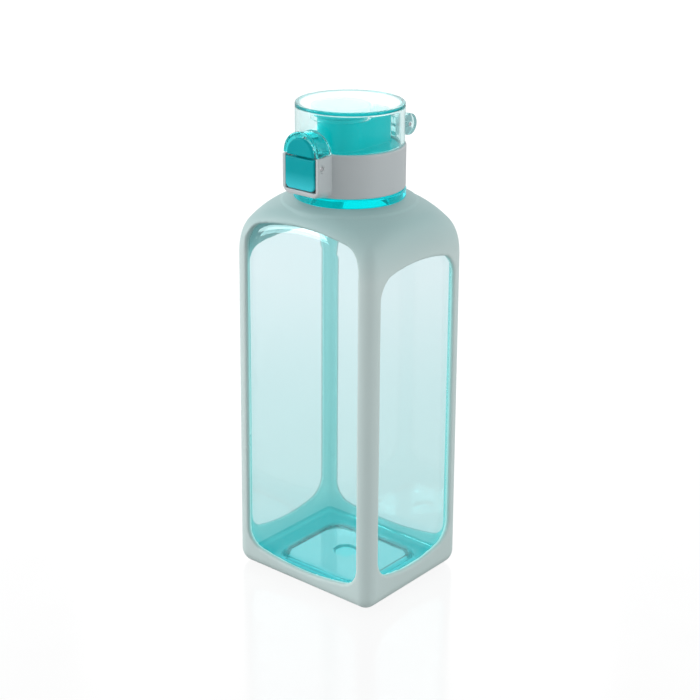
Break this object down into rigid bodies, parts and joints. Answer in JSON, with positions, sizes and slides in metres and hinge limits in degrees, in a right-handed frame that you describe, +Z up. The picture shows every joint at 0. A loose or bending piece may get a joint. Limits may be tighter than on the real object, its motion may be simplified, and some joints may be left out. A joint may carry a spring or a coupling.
{
  "type": "squared drinking bottle with flip-top cap",
  "caption": "Clear squared drinking bottle in a soft window sleeve, with a screw cap, covered spout, push-button flip lid and lock slider.",
  "frame": {"origin": "centre of the foot, on the surface that the bottle stands on", "axes": "+Z up along the bottle's axis, -Y towards the latch button, +Y towards the lid's hinge, +X to the right seen from the latch side"},
  "size_m": [0.0784, 0.0662, 0.2165],
  "materials": {
    "clear_body": "clear aqua, glossy",
    "sleeve_silicone": "matte satin silicone, pale grey green",
    "seal_silicone": "milky translucent silicone",
    "grey_plastic": "satin moulded plastic, light grey",
    "teal_plastic": "translucent teal, glossy",
    "clear_lid": "clear aqua, glossy",
    "button_plastic": "satin moulded plastic, deep teal",
    "steel": "bright drawn stainless"
  },
  "bodies": {
    "bottle": {"bottle_body": "clear_body", "sleeve": "sleeve_silicone"},
    "gasket": {"neck_gasket": "seal_silicone"},
    "cap": {"cap_collar": "grey_plastic", "spout_insert": "teal_plastic", "vent_valve": "seal_silicone", "hinge_pin": "steel", "lid_spring": "steel", "latch_pin": "steel", "latch_spring": "steel"},
    "lid": {"flip_lid": "clear_lid", "seal_carrier": "clear_lid", "spout_seal": "seal_silicone"},
    "latch": {"latch_button": "button_plastic"},
    "lock": {"lock_slider": "button_plastic"}
  },
  "joints": [
    {"name": "cap_lift", "type": "slide", "parent": "bottle", "child": "gasket", "axis": [0, 0, 1], "range_m": [0, 0.0091]},
    {"name": "cap_turn", "type": "hinge", "parent": "gasket", "child": "cap", "pos_m": [0, 0, 0.1884], "axis": [0, 0, 1], "range_deg": [0, 810]},
    {"name": "lid_flip", "type": "hinge", "parent": "cap", "child": "lid", "pos_m": [0, 0.0284, 0.2031], "axis": [-1, 0, 0], "range_deg": [0, 120], "deforming": ["lid_spring"]},
    {"name": "latch_press", "type": "hinge", "parent": "cap", "child": "latch", "pos_m": [0, -0.0288, 0.1944], "axis": [1, 0, 0], "range_deg": [0, 9], "stiffness_Nm_per_rad": 0.05, "deforming": ["latch_spring"]},
    {"name": "lock_slide", "type": "slide", "parent": "latch", "child": "lock", "axis": [0, 0, 1], "range_m": [0, 0.0011]}
  ],
  "couplings": [
    {"joint": "cap_lift", "follows": "cap_turn", "m_per_rad": 0.00063662}
  ]
}
